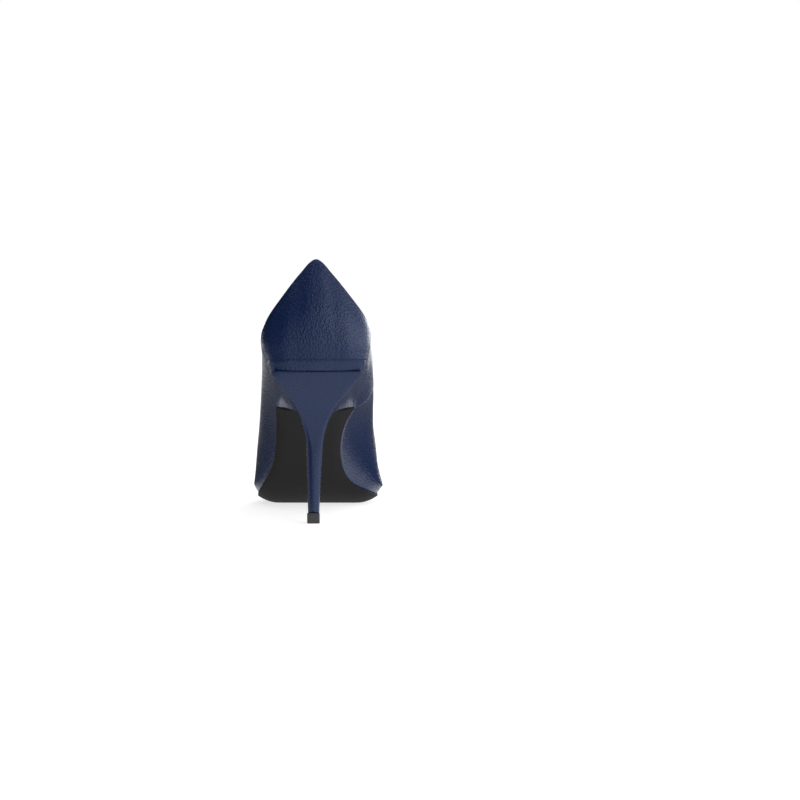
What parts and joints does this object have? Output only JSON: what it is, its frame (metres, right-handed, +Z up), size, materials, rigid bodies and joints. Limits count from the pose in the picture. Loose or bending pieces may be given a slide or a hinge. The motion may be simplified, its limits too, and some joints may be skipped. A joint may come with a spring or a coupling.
{
  "type": "high heel pump",
  "caption": "Left pointed-toe court shoe with a peaked square back, covered stiletto heel, thin outsole, lined upper, stiffened footbed and replaceable top piece.",
  "frame": {"origin": "middle of the top piece's bottom face, on the floor under the heel", "axes": "+Y from heel to toe along the floor, +Z up, +X towards the wearer's right, which is the inner side of this left shoe"},
  "size_m": [0.0769, 0.249, 0.1457],
  "materials": {
    "navy_leather": "fine pebbled nappa",
    "smooth_navy_leather": "smooth nappa",
    "lining_leather": "smooth kidskin",
    "sock_leather": "smooth kidskin",
    "counter_board": "pressed fibre",
    "backing_cloth": "woven cotton",
    "insole_board": "pressed cellulose",
    "tuck_board": "hard fibreboard",
    "spring_steel": "blued strip",
    "fastener_steel": "bright drawn",
    "cork": "cork and latex",
    "foam": "open latex foam",
    "outsole": "matt",
    "heel_plastic": "moulded ABS",
    "top_piece": "matt polyurethane"
  },
  "bodies": {
    "root": {"upper_leather": "navy_leather", "heel_counter": "counter_board", "toe_puff": "counter_board", "backing_lateral": "backing_cloth", "backing_medial": "backing_cloth", "topline_tape": "backing_cloth", "vamp_lining": "lining_leather", "quarter_lining": "lining_leather", "insole_board": "insole_board", "tuck_board": "tuck_board", "steel_shank": "spring_steel", "shank_rivets": "fastener_steel", "bottom_filler": "cork", "footbed_foam": "foam", "sock_lining": "sock_leather", "outsole": "outsole", "heel_core": "heel_plastic", "heel_cover": "smooth_navy_leather", "heel_tube": "fastener_steel", "heel_screw": "fastener_steel", "heel_nails": "fastener_steel", "top_piece": "top_piece", "top_piece_pin": "fastener_steel"}
  },
  "joints": []
}
